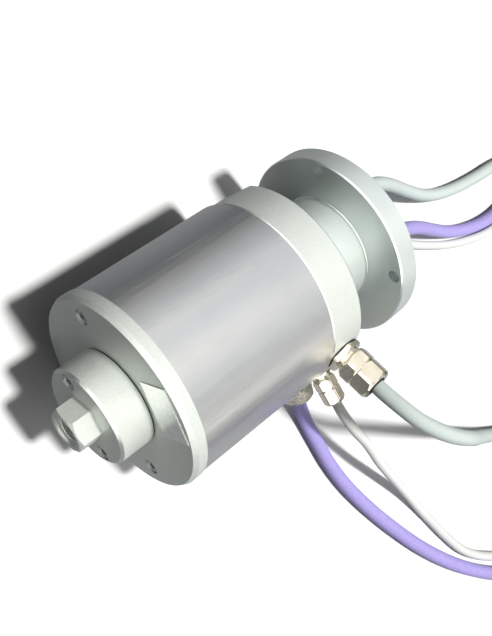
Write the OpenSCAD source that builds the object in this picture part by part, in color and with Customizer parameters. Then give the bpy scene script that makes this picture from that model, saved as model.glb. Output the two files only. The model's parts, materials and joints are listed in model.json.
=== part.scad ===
// Electrical slip ring with a one-channel rotary union, lying on its side.
// The axis of rotation is X. The origin is the centre of the rotor flange's mounting face and +X points out of it.
// Z is up, and the caps and the flange rest on a surface at z = -cap_d / 2.

/* [Caps and casing] */
// Outside diameter of the two stator caps and of the rotor flange
cap_d = 100; // [98:0.5:104]
// Visible thickness of the front cap
front_cap_t = 7.2; // [6.8:0.2:10]
// Length of the front cap's rim chamfer along the axis
rim_chamfer_l = 2.3; // [1:0.1:3.5]
// Depth of the front cap's rim chamfer across the radius
rim_chamfer_r = 1.3; // [0.6:0.1:2]
// Step from the caps' surface down to the casing tube
casing_step = 0.5; // [0.2:0.1:1.2]
// Length of the casing tube between the caps
casing_l = 80.8; // [79:0.2:95]
// Wall of the casing tube
casing_wall = 3; // [2:0.1:3.4]
// Width of the rear cap that carries the glands
rear_cap_w = 20.3; // [20:0.1:26]
// Chamfer on the rear edge of the rear cap
rear_chamfer = 1.5; // [0.6:0.1:2]
// Width of the flat milled on the rear cap's far side
far_flat_w = 30; // [16:1:36]
// Polar angle of that flat round the axis
far_flat_angle = 175; // [165:1:185]

/* [Caps' inner parts] */
// Length of the spigots that enter the casing tube
spigot_l = 7; // [6:0.5:10]
// Wall of those spigots
spigot_wall = 3; // [2.6:0.1:3.4]
// Thickness of the rear cap's end wall
rear_wall_t = 5; // [4:0.5:6]
// Section of the casing's O-rings
casing_ring_d = 2; // [1.6:0.1:2.2]
// Clearance of pieces that locate in each other
fit_gap = 0.05; // [0.02:0.01:0.1]

/* [Cap screws] */
// Distance of the two long cap screws' axes inside the spigots
cap_screw_inset = 2.95; // [2.6:0.05:4]
// Wall round their threads in the rear cap
cap_screw_wall = 2.2; // [1.4:0.1:2.4]
// Polar angle of the first cap and hub screw; the second is opposite
screw_angle = 157; // [150:1:165]
// Thread diameter of the cap and hub screws
screw_d = 4; // [3.5:0.1:4.2]
// Diameter of their heads
screw_head_d = 7; // [6.5:0.1:7.2]
// Height of their heads
screw_head_h = 4; // [3.4:0.1:4.2]
// Hexagon socket across flats
screw_socket = 3; // [2.5:0.1:3.2]
// Diameter of the counterbores
screw_bore_d = 8; // [7.8:0.1:8.2]
// Depth of the heads below the face
screw_recess = 0.6; // [0.2:0.1:1]

/* [Union hub and port] */
// Diameter of the union hub
hub_d = 49; // [47.5:0.5:52]
// Length of the hub in front of the cap
hub_l = 18; // [17:0.5:24]
// Chamfer on the hub's front edge
hub_chamfer = 1.2; // [0.5:0.1:1.4]
// Radius of the circle the hub screws stand on
hub_screw_r = 19; // [18.5:0.1:19.2]
// Diameter of the spigot that centres the hub in the front cap
hub_spigot_d = 30; // [28:0.5:31]
// Length of that spigot
hub_spigot_l = 4; // [3:0.5:5]
// Hexagon of the port fitting across flats
port_af = 20; // [18.5:0.5:22]
// Length of the port fitting in front of the hub
port_l = 10.8; // [9:0.2:14]
// Polar angle of a corner of the hexagon
port_corner_angle = 102; // [90:1:120]
// Diameter of the port's thread
port_thread_d = 13.2; // [11.5:0.1:14]
// Length of the port's thread
port_thread_l = 14; // [10:0.5:15]
// Diameter of the countersink at the port's mouth
port_mouth_d = 15.2; // [14.4:0.1:16]
// Diameter of the fluid passage
passage_d = 8; // [6:0.5:9]
// Diameter of the port fitting's spigot in the hub
port_spigot_d = 18; // [17:0.5:19]
// Length of that spigot
port_spigot_l = 6; // [5.5:0.5:7]
// Section of the O-ring on it
port_ring_d = 1.05; // [0.8:0.05:1.1]
// Radial width of the seals and the bush round the fluid tube
union_seal_t = 4; // [3:0.5:4.5]
// Width of one of the two seals
union_seal_w = 3; // [2.5:0.1:3.3]
// Width and depth of the shadow gap between the hub and the cap
hub_gap = 0.6; // [0.3:0.1:0.8]

/* [Rating plate] */
// Length of the rating plate
plate_l = 28; // [20:1:30]
// Distance of the plate from the hub and from the cap's rim chamfer
plate_gap = 3.35; // [3:0.05:6]
// Thickness of the rating plate
plate_t = 0.4; // [0.3:0.1:0.8]
// Polar angle of the plate's middle
plate_angle = 67; // [55:1:80]

/* [Rotor] */
// Thickness of the rotor flange
flange_t = 12; // [11:0.5:16]
// Chamfer on the flange's edges
flange_chamfer = 0.7; // [0.3:0.1:1.2]
// Diameter of the flange's bolt holes
flange_hole_d = 6.6; // [5:0.1:7]
// Distance of the bolt holes' axes from the flange's rim
flange_hole_inset = 5; // [4.5:0.1:8]
// Number of bolt holes
flange_holes = 4; // [3:1:8]
// Polar angle of the first bolt hole
flange_hole_angle = 51; // [0:1:90]
// Diameter of the neck behind the flange
neck_d = 57; // [56.4:0.1:57.6]
// Chamfer in the corner between the neck and the flange
neck_fillet = 0.3; // [0.1:0.1:1]
// Length of the neck between the rear cap and the flange
neck_l = 29.7; // [28:0.1:36]
// Diameter of the shaft that carries the rings
shaft_d = 34; // [33:0.5:35]
// Bore of that shaft
shaft_bore = 24; // [20:0.5:25]
// Diameter of the tube that carries the fluid
tube_d = 12; // [11:0.5:13]
// Diameter of that tube's sealing end
tube_seal_d = 16; // [15:0.5:18]
// Radius of the wiring chamber in the neck
chamber_r = 22; // [21:0.5:23]
// Thickness of the flange's end wall
wall_t = 10; // [8:0.5:11]
// Distance of the cable outlets from the axis
outlet_r = 17; // [16.5:0.1:17.5]
// Wall of the rubber grommets round the cables
grommet_wall = 1; // [0.6:0.1:1.2]
// Distance of the grommets from the chamber
grommet_inset = 2; // [1:0.5:4]

/* [Slip rings and brushes] */
// Number of slip rings
ring_count = 10; // [4:1:10]
// Width of a slip ring
ring_w = 3.4; // [2.8:0.1:3.6]
// Width of an insulator
insulator_w = 2.6; // [1.8:0.1:2.8]
// Diameter of the slip rings
ring_d = 43; // [41:0.5:44]
// Depth of the groove in a ring
ring_groove = 0.7; // [0.3:0.1:1]
// Diameter of the insulators
insulator_d = 48; // [46:0.5:50]
// Diameter of a brush wire
brush_d = 1; // [0.6:0.1:1.2]
// Clearance between a brush wire and its ring
brush_gap = 0.15; // [0.1:0.05:0.3]
// Distance of the brush block from the insulators
block_gap = 5.5; // [4:0.5:7]
// Distance of the brush block inside the spigots' bore
block_inset = 0.7; // [0.5:0.1:2]
// Distance of the brush block from the long cap screws
block_screw_gap = 1.8; // [1:0.1:3]
// Diameter of the two rods that carry the block
rod_d = 4; // [3:0.5:5]
// Distance of the rods' axes from the block's edges
rod_edge = 5.5; // [5.5:0.1:7]
// Depth of the rods' ends in the two caps
rod_seat = 2; // [1:0.5:3]

/* [Bearings] */
// Bore, outside diameter and width of the rear bearing
rear_brg = [45, 58, 7];
// Ball diameter of the rear bearing
rear_ball_d = 3.9; // [3:0.1:4]
// Number of balls in the rear bearing
rear_balls = 16; // [8:1:18]
// Bore, outside diameter and width of the front bearing
front_brg = [30, 42, 7];
// Ball diameter of the front bearing
front_ball_d = 3.5; // [3:0.1:3.6]
// Number of balls in the front bearing
front_balls = 13; // [8:1:15]

/* [Cable glands] */
// Polar angle of the upper gland
gland_a_angle = 25; // [24:1:35]
// Polar angle of the small gland
gland_c_angle = -7; // [-8:1:-4]
// Polar angle of the lower gland
gland_d_angle = -32.5; // [-34:0.5:-32]
// Hexagon of the two large glands across flats
gland_af = 17; // [15:0.5:17.5]
// Hexagon of the small gland across flats
small_gland_af = 11; // [10:0.5:12]
// Length of the large glands above their seats
gland_len = 23; // [21:0.5:25]
// Length of the small gland above its seat
small_gland_len = 19.3; // [18:0.1:20]
// Depth of the large glands' flats below the cap's surface
gland_flat_t = 1.1; // [0.8:0.1:1.6]
// Depth of the small gland's flat below the cap's surface
small_flat_t = 0.6; // [0.4:0.1:1]

/* [Cables] */
// Diameter of the grey and the violet cables
cable_d = 8; // [7:0.5:8]
// Diameter of the white cables
white_d = 5.5; // [4.5:0.5:5.5]

/* [Hidden] */
$fn = 96;
x_fl = -flange_t;
x_rc1 = x_fl - neck_l;
x_rc0 = x_rc1 - rear_cap_w;
x_fc1 = x_rc0 - casing_l;
x_fc0 = x_fc1 - front_cap_t;
x_hub = x_fc0 - hub_l;
x_port = x_hub - port_l;
cap_r = cap_d / 2;
casing_r = cap_r - casing_step;
casing_ri = casing_r - casing_wall;
spigot_r = casing_ri - fit_gap;
spigot_ri = spigot_r - spigot_wall;
cap_screw_r = spigot_ri - cap_screw_inset;
gland_seat = cap_r - gland_flat_t;
small_gland_seat = cap_r - small_flat_t;
// seal and bearing seats of the rear cap
seal_w = 7;
seal_d = neck_d + 11;
x_seal0 = x_rc1 - seal_w - 0.5;
x_rb1 = x_seal0 - 1;
x_rb0 = x_rb1 - rear_brg[2];
rear_lip = 2;
rear_edge = 0.5;
bearing_wall = 4;
// front bearing seat
x_fb0 = x_fc1 + 1;
x_fb1 = x_fb0 + front_brg[2];
clip_w = 1.2;
x_boss = x_fb1 + clip_w + 2;
// ring stack, set against the spacer in front of the rear journal
spacer_l = 7.5;
journal_l = rear_brg[2] + 2;
x_journal = x_rb1 - journal_l;
x_stack1 = x_journal - spacer_l;
stack_l = ring_count * ring_w + (ring_count + 1) * insulator_w;
x_stack0 = x_stack1 - stack_l;
nut_w = 3;
x_gland = (x_rc0 + x_rc1) / 2;
// rotary union: bottom of the port's spigot, start of the chamber, first seal
x_spigot = x_hub + port_spigot_l;
x_chamber = x_spigot + 2;
x_seals = x_chamber + 2.2;
union_r = tube_seal_d / 2 + union_seal_t;

alu = [0.78, 0.79, 0.76];
steel = [0.62, 0.64, 0.65];
nickel = [0.80, 0.79, 0.74];
dark = [0.08, 0.08, 0.09];
bronze = [0.72, 0.55, 0.30];
gold = [0.80, 0.62, 0.25];
violet = [0.45, 0.38, 0.78];
grey = [0.62, 0.66, 0.65];
white = [0.92, 0.93, 0.93];

// ---- helpers ----
// revolve a profile drawn as [radius, x] about the X axis
module rev() { rotate([0, 90, 0]) rotate_extrude() children(); }
// cylinder along X from x0 to x1
module cyl(x0, x1, r) { translate([x0, 0, 0]) rotate([0, 90, 0]) cylinder(h = x1 - x0, r = r); }
// ring along X
module ring(x0, x1, ro, ri) {
    difference() {
        cyl(x0, x1, ro);
        cyl(x0 - 1, x1 + 1, ri);
    }
}
// at polar angle a round X: the child's -Y points outward
module polar(a) { rotate([-a, 0, 0]) children(); }
// at polar angle a, at x and radius r: the child's +Z points outward along the radius
module radial(a, x, r) { translate([x, 0, 0]) rotate([90 - a, 0, 0]) translate([0, 0, r]) children(); }
// hole or rod along X at radius r and polar angle a
module bar(a, r, x0, x1, rr) { polar(a) translate([x0, -r, 0]) rotate([0, 90, 0]) cylinder(h = x1 - x0, r = rr); }
// socket-head screw along X: face of the part at xf, tip at xt
module socket_screw(a, r, xf, xt) {
    xh = xf + screw_recess;
    difference() {
        union() {
            bar(a, r, xh, xh + screw_head_h, screw_head_d / 2);
            bar(a, r, xh + screw_head_h, xt, screw_d / 2);
        }
        polar(a) translate([xh - 1, -r, 0]) rotate([0, 90, 0])
            cylinder(h = 1 + screw_head_h / 2, d = screw_socket / cos(30), $fn = 6);
    }
}
// counterbore and clearance hole for such a screw
module screw_hole(a, r, xf, xt) {
    bar(a, r, xf - 1, xf + screw_recess + screw_head_h, screw_bore_d / 2);
    bar(a, r, xf, xt, screw_d / 2 + 0.2);
}
// groove for a casing O-ring
module groove(x) {
    rev() translate([casing_ri - casing_ring_d - 2 * fit_gap, x - casing_ring_d * 0.65])
        square([2 * casing_ring_d, casing_ring_d * 1.3]);
}
module o_ring(x, r, d) { rev() translate([r, x]) circle(d = d, $fn = 32); }

// ---- union ----
module port_fitting() {
    corner_r = port_af / cos(30) / 2;
    sr = port_spigot_d / 2 - fit_gap;
    mouth_l = (port_mouth_d - port_thread_d) / 2;
    color(alu) difference() {
        union() {
            intersection() {
                translate([x_port, 0, 0]) rotate([-port_corner_angle, 0, 0]) rotate([0, 90, 0]) rotate([0, 0, 90])
                    cylinder(h = port_l, r = corner_r, $fn = 6);
                rev() polygon([[0, x_port], [port_af / 2 - 0.6, x_port], [corner_r + 0.3, x_port + 1.6],
                    [port_af, x_port + 1.6], [port_af, x_hub], [0, x_hub]]);
            }
            cyl(x_hub - 0.5, x_spigot, sr);
        }
        cyl(x_port - 1, x_port + port_thread_l, port_thread_d / 2);
        cyl(x_port, x_spigot + 1, passage_d / 2);
        rev() polygon([[0, x_port - 1], [port_mouth_d / 2 + 1, x_port - 1], [port_thread_d / 2, x_port + mouth_l],
            [0, x_port + mouth_l]]);
        rev() translate([sr - port_ring_d - fit_gap, x_hub + port_spigot_l / 2])
            square([2 * port_ring_d, port_ring_d * 1.7]);
    }
}
module port_o_ring() {
    color(dark) o_ring(x_hub + port_spigot_l / 2 + port_ring_d * 0.85, (port_spigot_d - port_ring_d) / 2 - fit_gap,
        port_ring_d);
}
module union_hub() {
    hr = hub_d / 2;
    sr = hub_spigot_d / 2 - fit_gap;
    color(alu) difference() {
        rev() polygon([[0, x_hub], [hr - hub_chamfer, x_hub], [hr, x_hub + hub_chamfer], [hr, x_fc0 - hub_gap],
            [hr - hub_gap, x_fc0 - hub_gap], [hr - hub_gap, x_fc0], [sr, x_fc0], [sr, x_fc0 + hub_spigot_l],
            [0, x_fc0 + hub_spigot_l]]);
        cyl(x_hub - 1, x_spigot, port_spigot_d / 2);
        cyl(x_hub, x_chamber + 1, passage_d / 2);
        cyl(x_chamber, x_fc0 + hub_spigot_l + 1, union_r);
        for (s = [0, 180]) screw_hole(screw_angle + s, hub_screw_r, x_hub, x_fc0 + 1);
    }
}
module hub_seal() {
    color(dark) rev() translate([hub_d / 2 - hub_gap + fit_gap, x_fc0 - hub_gap + fit_gap])
        square([hub_gap - 0.2, hub_gap - fit_gap]);
}
module hub_screws() {
    color(steel) for (s = [0, 180]) socket_screw(screw_angle + s, hub_screw_r, x_hub, x_fc0 + 5.5);
}
module union_seals() {
    pitch = union_seal_w + 0.4;
    color(dark) for (i = [0, 1]) ring(x_seals + i * pitch, x_seals + i * pitch + union_seal_w,
        union_r - fit_gap / 2, tube_seal_d / 2 + fit_gap);
}
module union_bush() {
    color(bronze) ring(x_seals + 2 * union_seal_w + 1, x_fc0 + hub_spigot_l, union_r - fit_gap / 2,
        tube_seal_d / 2 + fit_gap);
}

// ---- stator ----
module front_cap() {
    fb_r = front_brg[1] / 2;
    color(alu) difference() {
        union() {
            rev() polygon([[0, x_fc0], [cap_r - rim_chamfer_r, x_fc0], [cap_r, x_fc0 + rim_chamfer_l], [cap_r, x_fc1],
                [spigot_r, x_fc1], [spigot_r, x_fc1 + spigot_l], [spigot_ri, x_fc1 + spigot_l], [spigot_ri, x_fc1],
                [fb_r + bearing_wall, x_fc1], [fb_r + bearing_wall, x_boss], [0, x_boss]]);
        }
        cyl(x_fc0 - 1, x_fc1 + 2, hub_spigot_d / 2);
        cyl(x_fb0 - 1.4, x_fb0 + 1, pitch_r(front_brg) + front_ball_d * 0.16 + 0.3);
        cyl(x_fb0, x_boss + 1, fb_r + 0.01);
        rev() translate([fb_r, x_fb1]) square([1, clip_w + 0.1]);
        groove(x_fc1 + spigot_l / 2);
        for (s = [0, 180]) screw_hole(screw_angle + s, cap_screw_r, x_fc0, x_fc1 + 1);
        for (s = [0, 180]) bar(screw_angle + s, hub_screw_r, x_fc0 - 1, x_fc0 + 6, screw_d / 2 + fit_gap);
        rods(x_fc1 - rod_seat, x_fc1 + 1, fit_gap);
    }
}
module tie_screws() {
    color(steel) for (s = [0, 180]) socket_screw(screw_angle + s, cap_screw_r, x_fc0, x_rc0 - 1);
}
// the plate lies in the middle of the band between the hub and the cap's rim chamfer
plate_r0 = hub_d / 2 + plate_gap;
plate_r1 = cap_r - rim_chamfer_r - plate_gap;
module rating_plate() {
    color(white) polar(plate_angle) translate([x_fc0 - plate_t, -plate_r1, -plate_l / 2])
        cube([plate_t, plate_r1 - plate_r0, plate_l]);
}
module casing_tube() { color(steel) ring(x_fc1, x_rc0, casing_r, casing_ri); }
module casing_o_rings() {
    color(dark) for (x = [x_fc1 + spigot_l / 2, x_rc0 - spigot_l / 2])
        o_ring(x, casing_ri - casing_ring_d / 2 - fit_gap, casing_ring_d);
}
// what lies outside a flat milled on the rear cap at distance seat from the axis
module flat_cut(a, seat) {
    radial(a, x_gland, seat) translate([-rear_cap_w, -cap_r, 0]) cube([2 * rear_cap_w, cap_d, cap_r]);
}
module gland_bore(a, af) {
    radial(a, x_gland, spigot_ri - 3) cylinder(h = cap_r - spigot_ri + 6, r = gland_thread(af) + fit_gap);
}
module rear_cap() {
    brg_r = rear_brg[1] / 2;
    shoulder_r = brg_r - 2.5;
    hood_r = seal_d / 2 + 3;
    far_seat = sqrt(cap_r * cap_r - far_flat_w * far_flat_w / 4);
    color(alu) difference() {
        union() {
            rev() polygon([[spigot_ri, x_rc0 - spigot_l], [spigot_r, x_rc0 - spigot_l], [spigot_r, x_rc0],
                [cap_r - rear_edge, x_rc0], [cap_r, x_rc0 + rear_edge], [cap_r, x_rc1 - rear_chamfer],
                [cap_r - rear_chamfer, x_rc1], [seal_d / 2, x_rc1], [seal_d / 2, x_seal0], [brg_r + 0.01, x_seal0],
                [brg_r + 0.01, x_rb0], [shoulder_r, x_rb0], [shoulder_r, x_rb0 - rear_lip],
                [brg_r + bearing_wall, x_rb0 - rear_lip], [brg_r + bearing_wall, x_seal0 - 1], [hood_r, x_seal0 + 1],
                [hood_r, x_rc1 - rear_wall_t], [spigot_ri, x_rc1 - rear_wall_t]]);
            for (s = [0, 180]) intersection() {
                bar(screw_angle + s, cap_screw_r, x_rc0 - spigot_l, x_rc0, screw_d / 2 + cap_screw_wall);
                cyl(x_rc0 - spigot_l, x_rc0, spigot_r - 1.75);
            }
        }
        groove(x_rc0 - spigot_l / 2);
        for (s = [0, 180])
            bar(screw_angle + s, cap_screw_r, x_rc0 - spigot_l - 1, x_rc0 + 1, screw_d / 2 + fit_gap);
        rods(x_rc0 - spigot_l - 1, x_rc1 - rear_wall_t + rod_seat, fit_gap);
        flat_cut(far_flat_angle, far_seat);
        flat_cut(gland_a_angle, gland_seat);
        flat_cut(gland_d_angle, gland_seat);
        flat_cut(gland_c_angle, small_gland_seat);
        gland_bore(gland_a_angle, gland_af);
        gland_bore(gland_d_angle, gland_af);
        gland_bore(gland_c_angle, small_gland_af);
    }
}
module shaft_seal() {
    nr = neck_d / 2 + fit_gap;
    sr = seal_d / 2 - 0.02;
    color(dark) rev() polygon([[sr, x_seal0 + 0.3], [sr, x_rc1 - 0.4], [nr, x_rc1 - 0.4], [nr, x_rc1 - 2.2],
        [nr + 2.4, x_rc1 - 2.6], [nr, x_rc1 - 4.6], [nr, x_rc1 - 5.2], [nr + 3.2, x_rc1 - 4.6],
        [nr + 3.2, x_seal0 + 0.3]]);
}

// ---- bearings ----
function pitch_r(b) = (b[0] + b[1]) / 4;
module brg_outer(b, x0, bd) {
    p = pitch_r(b);
    rev() difference() {
        translate([p + bd * 0.36, x0]) square([b[1] / 2 - p - bd * 0.36, b[2]]);
        translate([p, x0 + b[2] / 2]) circle(r = bd / 2 + 0.05, $fn = 48);
    }
}
module brg_inner(b, x0, bd) {
    p = pitch_r(b);
    rev() difference() {
        translate([b[0] / 2, x0]) square([p - bd * 0.36 - b[0] / 2, b[2]]);
        translate([p, x0 + b[2] / 2]) circle(r = bd / 2 + 0.05, $fn = 48);
    }
}
module brg_balls(b, x0, bd, n) {
    p = pitch_r(b);
    for (i = [0:n - 1]) rotate([i * 360 / n, 0, 0]) translate([x0 + b[2] / 2, 0, p]) sphere(d = bd, $fn = 32);
}
module brg_cage(b, x0, bd, n) {
    p = pitch_r(b);
    difference() {
        ring(x0 + b[2] / 2 - bd * 0.7, x0 + b[2] / 2 + bd * 0.7, p + bd * 0.16, p - bd * 0.16);
        for (i = [0:n - 1]) rotate([i * 360 / n, 0, 0]) translate([x0 + b[2] / 2, 0, p - bd])
            cylinder(h = 2 * bd, d = bd + 0.2, $fn = 32);
    }
}
module front_bearing_outer() { color(steel) brg_outer(front_brg, x_fb0, front_ball_d); }
module front_bearing_inner() { color(steel) brg_inner(front_brg, x_fb0, front_ball_d); }
module front_bearing_balls() { color(steel) brg_balls(front_brg, x_fb0, front_ball_d, front_balls); }
module front_bearing_cage() { color(bronze) brg_cage(front_brg, x_fb0, front_ball_d, front_balls); }
module rear_bearing_outer() { color(steel) brg_outer(rear_brg, x_rb0, rear_ball_d); }
module rear_bearing_inner() { color(steel) brg_inner(rear_brg, x_rb0, rear_ball_d); }
module rear_bearing_balls() { color(steel) brg_balls(rear_brg, x_rb0, rear_ball_d, rear_balls); }
module rear_bearing_cage() { color(bronze) brg_cage(rear_brg, x_rb0, rear_ball_d, rear_balls); }
module bearing_circlip() {
    r = front_brg[1] / 2;
    color(dark) difference() {
        ring(x_fb1 + 0.05, x_fb1 + clip_w, r + 0.9, r - 1.6);
        translate([x_fb1 - 1, -3, 0]) cube([4, 6, r + 3]);
    }
}

// ---- brushes ----
function ring_x(i) = x_stack0 + insulator_w + i * (ring_w + insulator_w);
// the block fills the space between the rings and the casing, beside the long cap screws
block_x0 = x_boss + 1.5;
block_x1 = x_rc0 - spigot_l - 0.5;
block_y = insulator_d / 2 + block_gap;
block_h = 2 * (cap_screw_r * sin(screw_angle) - screw_d / 2 - block_screw_gap);
block_t = sqrt(pow(spigot_ri - block_inset, 2) - block_h * block_h / 4) - block_y;
brush_r = ring_d / 2 - ring_groove + brush_d / 2 + brush_gap;
brush_y = block_y + 1.5;
brush_z = block_h / 2 - 2.6;
brush_far = norm([brush_y, brush_z]);
brush_tilt = atan2(brush_z, brush_y) + acos(brush_r / brush_far);
brush_l = sqrt(brush_far * brush_far - brush_r * brush_r) + 3;
// one wire, tangent to its ring, or with a gap the hole that holds it
module brush_wire(i, s, gap) {
    mirror([0, 0, s]) translate([ring_x(i) + ring_w / 2, brush_y, brush_z]) rotate([brush_tilt, 0, 0])
        translate([0, 0, -gap]) cylinder(h = brush_l, d = brush_d + 2 * gap, $fn = 24);
}
// the two rods that carry the block, or with a gap their holes
module rods(x0, x1, gap) {
    for (s = [-1, 1]) translate([x0, block_y + block_t / 2, s * (block_h / 2 - rod_edge)]) rotate([0, 90, 0])
        cylinder(h = x1 - x0, r = rod_d / 2 + gap);
}
module brush_block() {
    color([0.12, 0.20, 0.16]) difference() {
        translate([block_x0, block_y, -block_h / 2]) cube([block_x1 - block_x0, block_t, block_h]);
        rods(block_x0 - 1, block_x1 + 1, fit_gap);
        for (i = [0:ring_count - 1], s = [0, 1]) brush_wire(i, s, fit_gap);
    }
}
module brush_wires() { color(gold) for (i = [0:ring_count - 1], s = [0, 1]) brush_wire(i, s, 0); }
module brush_rods() { color(steel) rods(x_fc1 - rod_seat, x_rc1 - rear_wall_t + rod_seat, 0); }

// ---- rotor ----
module rotor_flange() {
    nr = neck_d / 2;
    jr = rear_brg[0] / 2;
    seat_r = tube_d / 2 + 3;
    x_seat = -wall_t - 9;
    color(alu) difference() {
        rev() polygon([[0, 0], [cap_r - flange_chamfer, 0], [cap_r, -flange_chamfer], [cap_r, x_fl + flange_chamfer],
            [cap_r - flange_chamfer, x_fl], [nr + neck_fillet, x_fl], [nr, x_fl - neck_fillet], [nr, x_rb1 + 1],
            [jr + 2, x_rb1 + 1], [jr + 2, x_rb1], [jr, x_rb1], [jr, x_journal], [0, x_journal]]);
        cyl(x_journal - 1, x_rc1, shaft_d / 2 + fit_gap);
        cyl(x_rc1 - 1, x_seat + 1, chamber_r);
        rev() polygon([[seat_r, x_seat], [chamber_r, x_seat], [chamber_r, -wall_t], [seat_r, -wall_t]]);
        cyl(x_seat, -wall_t, tube_d / 2 + fit_gap);
        cyl(-wall_t - 1, 1, port_thread_d / 2);
        for (i = [0:flange_holes - 1])
            bar(flange_hole_angle + i * 360 / flange_holes, cap_r - flange_hole_inset, x_fl - 1, 1, flange_hole_d / 2);
        for (g = outlets) bar(g[0], outlet_r, -wall_t - 1, 1, g[1] + fit_gap);
    }
}
// cable outlets in the flange: polar angle and radius of the seat
outlets = [[150, cable_d / 2 + grommet_wall], [30, cable_d / 2 + grommet_wall], [270, white_d / 2 + grommet_wall]];
module cable_grommets() { color(dark) for (g = outlets) bar(g[0], outlet_r, -wall_t + grommet_inset, 0, g[1]); }
module rotor_shaft() {
    jr = front_brg[0] / 2;
    sr = shaft_d / 2;
    br = shaft_bore / 2;
    tr = tube_d / 2 + fit_gap;
    color(steel) rev() polygon([[tr, x_fb0 - 0.5], [jr, x_fb0 - 0.5], [jr, x_fb1], [jr + 1, x_fb1],
        [jr + 1, x_fb1 + 0.8], [sr, x_fb1 + 0.8], [sr, x_rc1 - 0.2], [br, x_rc1 - 0.2], [br, x_fb0 + 2.5],
        [tr, x_fb0 + 2.5]]);
}
// the tube ends a little below the rotor port's thread
module union_tube() {
    x0 = x_chamber + 1.5;
    x1 = -wall_t - 1.5;
    x_step = x_fc0 + hub_spigot_l + 1;
    color(steel) rev() polygon([[passage_d / 2, x0], [tube_seal_d / 2, x0], [tube_seal_d / 2, x_step],
        [tube_d / 2, x_step], [tube_d / 2, x1], [passage_d / 2, x1]]);
}
module slip_rings() {
    ro = ring_d / 2;
    rg = ro - ring_groove;
    ri = shaft_d / 2 + fit_gap;
    color(gold) for (i = [0:ring_count - 1]) translate([ring_x(i), 0, 0]) rev() polygon([[ri, 0], [ro, 0], [ro, 0.6],
        [rg, ring_w / 2 - 0.5], [rg, ring_w / 2 + 0.5], [ro, ring_w - 0.6], [ro, ring_w], [ri, ring_w]]);
}
module ring_insulators() {
    color([0.85, 0.83, 0.74]) for (i = [0:ring_count])
        ring(ring_x(i) - insulator_w, ring_x(i), insulator_d / 2, shaft_d / 2 + fit_gap);
}
module ring_nut() {
    color(steel) difference() {
        ring(x_stack0 - nut_w, x_stack0, shaft_d / 2 + 3, shaft_d / 2 + fit_gap);
        for (i = [0:3]) rotate([45 + i * 90, 0, 0]) translate([x_stack0 - nut_w - 1, -2, shaft_d / 2 + 1.4])
            cube([nut_w + 2, 4, 5]);
    }
}
module spacer_sleeve() { color(alu) ring(x_stack1, x_journal, shaft_d / 2 + 3, shaft_d / 2 + fit_gap); }

// ---- glands ----
function gland_thread(af) = af * 0.44;
// hexagon with its corners turned down to the radius r and both ends given by a turned profile
module turned_hex(rc, turn, z0, z1, profile) {
    intersection() {
        rotate([0, 0, turn]) translate([0, 0, z0]) cylinder(h = z1 - z0, r = rc, $fn = 6);
        rotate_extrude() polygon(profile);
    }
}
// the lengths are shares of the gland's length and the radii shares of the hexagon: the small gland is the same form
module gland_body_at(a, seat, af, len, turn) {
    rc = af / cos(30) / 2;
    k = len / 22;
    radial(a, x_gland, seat) difference() {
        union() {
            turned_hex(rc, turn, 0.7 * k, 3.3 * k, [[0, 0.7 * k], [rc * 0.97, 0.7 * k], [rc * 0.97, 2.7 * k],
                [rc * 0.90, 3.3 * k], [0, 3.3 * k]]);
            translate([0, 0, 3.2 * k]) cylinder(h = 1.8 * k, r = rc * 0.70);
            translate([0, 0, spigot_ri - seat - 0.5]) cylinder(h = seat - spigot_ri + 1.6 * k, r = gland_thread(af));
        }
        translate([0, 0, -len]) cylinder(h = 2 * len, r = gland_thread(af) - 1.6);
    }
}
module gland_nut_at(a, seat, af, len, cd, turn) {
    rc = af / cos(30) / 2;
    k = len / 22;
    radial(a, x_gland, seat) difference() {
        union() {
            turned_hex(rc, turn, 5 * k, 12 * k, [[0, 5 * k], [rc * 0.80, 5 * k], [rc * 0.96, 7 * k],
                [rc * 0.96, 11.5 * k], [rc * 0.91, 12 * k], [0, 12 * k]]);
            translate([0, 0, 11.9 * k]) cylinder(h = 0.8 * k, r = rc * 0.82);
            turned_hex(rc * 0.97, turn, 12.6 * k, 22 * k, [[0, 12.6 * k], [rc * 0.86, 12.6 * k], [rc * 0.93, 13.2 * k],
                [rc * 0.93, 20.4 * k], [rc * 0.78, 22 * k], [0, 22 * k]]);
        }
        translate([0, 0, -1]) cylinder(h = len + 2, r = cd / 2 + 0.9 * k);
    }
}
module gland_insert_at(a, seat, af, len, cd) {
    k = len / 22;
    radial(a, x_gland, seat) translate([0, 0, 7 * k])
        cylinder(h = 15 * k + insert_out, r = cd / 2 + 0.9 * k - 0.02);
}
insert_out = 0.4;
// turn of each gland's body and nut round its own axis
a_turns = [33, 11.5];
c_turns = [35, 40];
d_turns = [33, 50];
module gland_bodies() {
    color(nickel) gland_body_at(gland_a_angle, gland_seat, gland_af, gland_len, a_turns[0]);
    color(nickel) gland_body_at(gland_d_angle, gland_seat, gland_af, gland_len, d_turns[0]);
}
module gland_nuts() {
    color(nickel) gland_nut_at(gland_a_angle, gland_seat, gland_af, gland_len, cable_d, a_turns[1]);
    color(nickel) gland_nut_at(gland_d_angle, gland_seat, gland_af, gland_len, cable_d, d_turns[1]);
}
module small_gland_body() {
    color(nickel) gland_body_at(gland_c_angle, small_gland_seat, small_gland_af, small_gland_len, c_turns[0]);
}
module small_gland_nut() {
    color(nickel) gland_nut_at(gland_c_angle, small_gland_seat, small_gland_af, small_gland_len, white_d, c_turns[1]);
}
module gland_inserts() {
    color(dark) gland_insert_at(gland_a_angle, gland_seat, gland_af, gland_len, cable_d);
    color(dark) gland_insert_at(gland_d_angle, gland_seat, gland_af, gland_len, cable_d);
    color(dark) gland_insert_at(gland_c_angle, small_gland_seat, small_gland_af, small_gland_len, white_d);
}
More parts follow.
